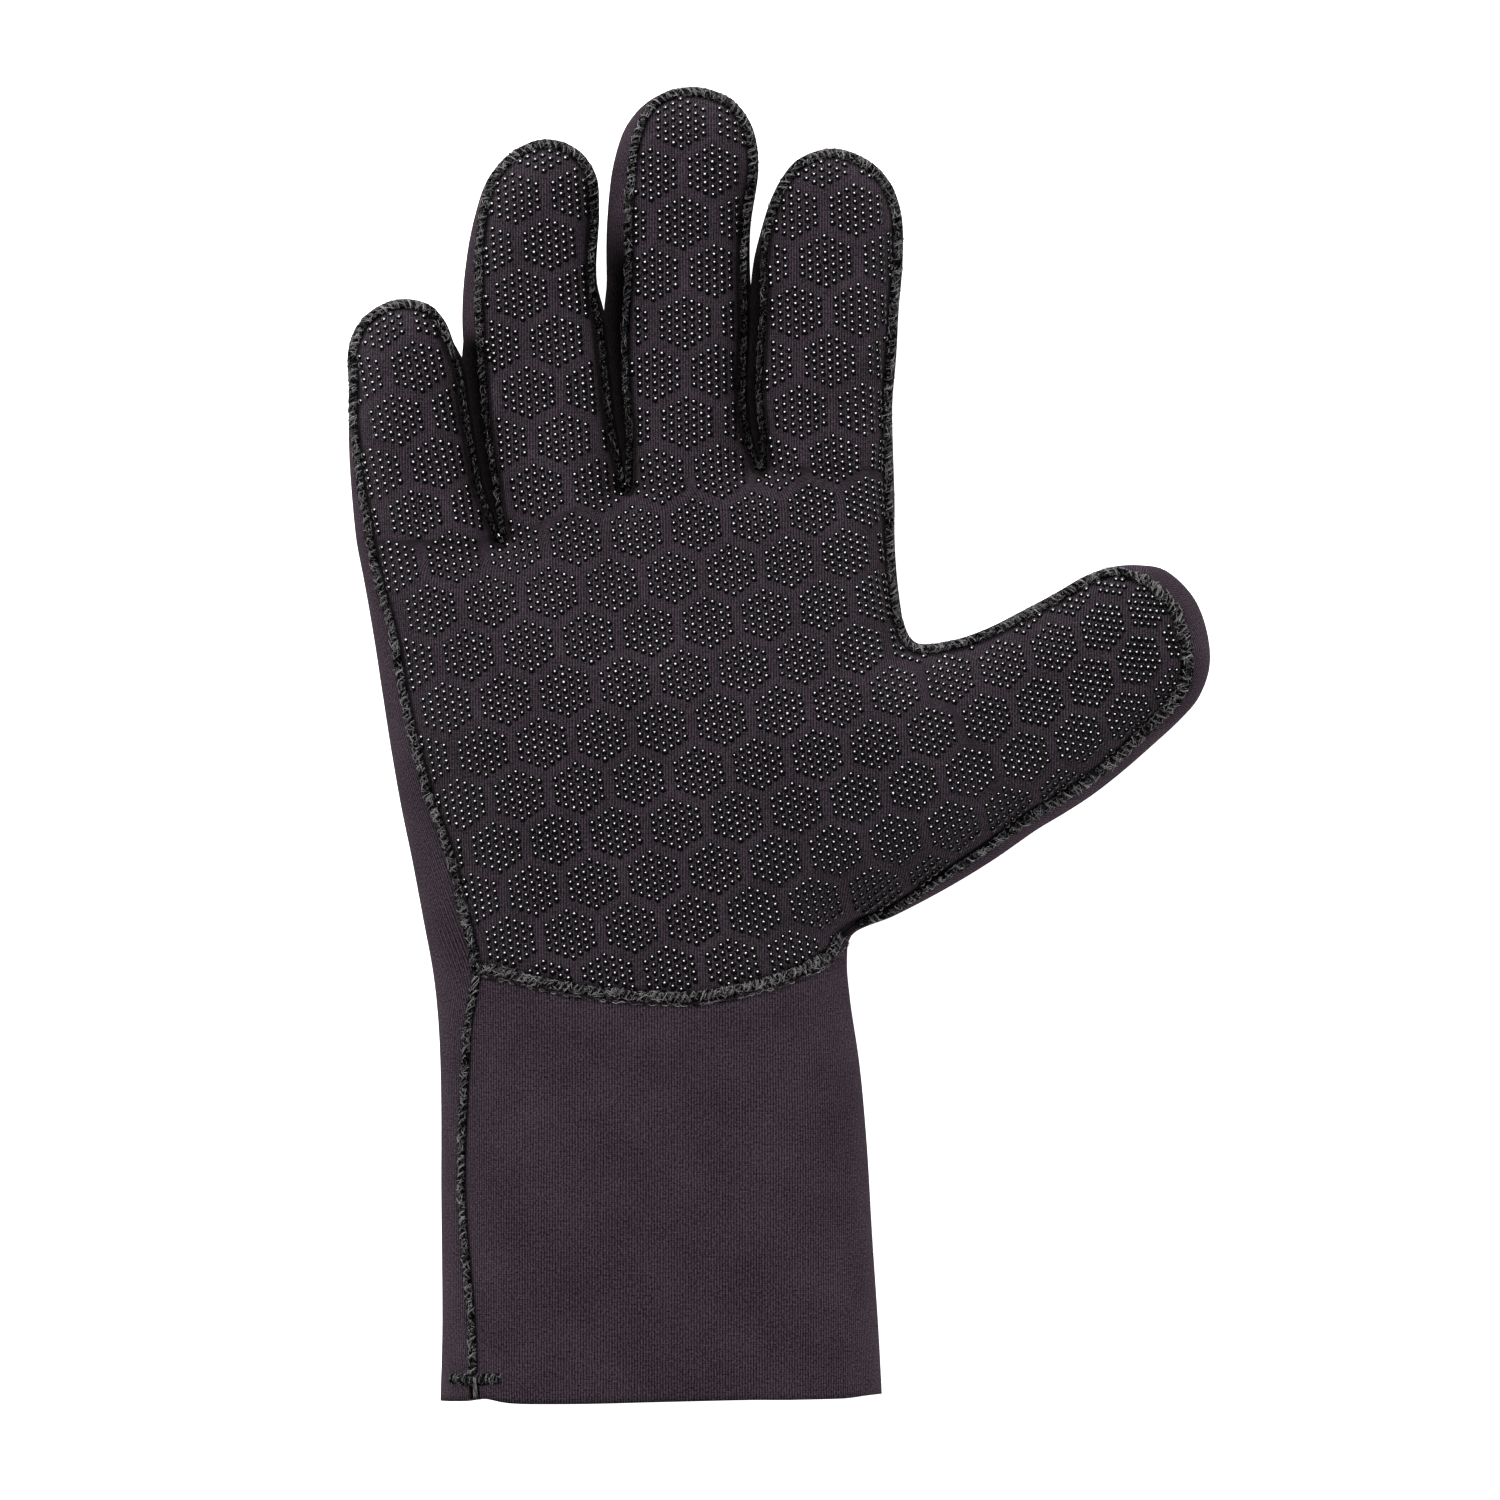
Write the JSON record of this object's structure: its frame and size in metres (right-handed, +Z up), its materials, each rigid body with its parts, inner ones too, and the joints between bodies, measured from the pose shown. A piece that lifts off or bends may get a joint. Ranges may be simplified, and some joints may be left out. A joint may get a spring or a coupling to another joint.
{
  "type": "diving glove",
  "caption": "Right-hand diving glove of faced sponge rubber with a long straight cuff, lying palm up, with overcast seams round a dotted palm panel.",
  "frame": {"origin": "middle of the glove's box, on the ground that its back lies on", "axes": "+X to the thumb side, +Y from the hem to the fingertips, +Z up out of the palm"},
  "size_m": [0.1838, 0.2804, 0.0435],
  "materials": {
    "knit_face": "fine black knit laminated to sponge rubber, matt",
    "dotted_palm": "the same knit printed with glossy black rubber grip dots",
    "seam_thread": "dark grey overcast thread, fuzzy"
  },
  "bodies": {
    "root": {"back_panel": "knit_face", "palm_panel": "dotted_palm", "palm_seam": "seam_thread", "wrist_seam": "seam_thread", "cuff_seam": "seam_thread", "bar_tack": "seam_thread"}
  },
  "joints": []
}
